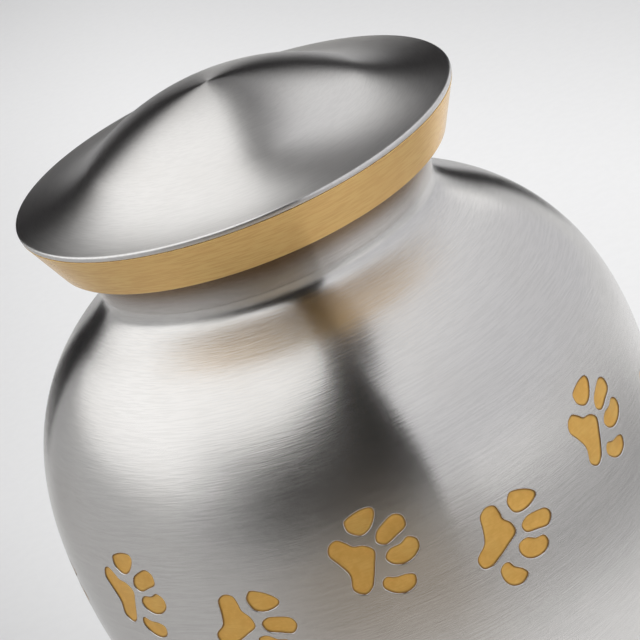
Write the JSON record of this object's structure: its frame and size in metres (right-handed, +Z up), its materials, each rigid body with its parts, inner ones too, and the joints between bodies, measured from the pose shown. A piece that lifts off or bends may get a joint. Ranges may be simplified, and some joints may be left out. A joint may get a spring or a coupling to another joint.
{
  "type": "pet cremation urn",
  "caption": "Hollow spun-brass pet cremation urn with a pewter finish, engraved brass paw prints and a lift-off domed lid on a brass band.",
  "frame": {"origin": "centre of the underside of the foot", "axes": "+Z up along the urn's axis, -Y towards the front view"},
  "size_m": [0.116, 0.116, 0.1897],
  "materials": {
    "pewter": "brushed pewter plating on brass",
    "brass": "brushed bare brass"
  },
  "bodies": {
    "root": {"vessel": "pewter", "lid_band": "brass", "lid_dome": "pewter"}
  },
  "joints": []
}
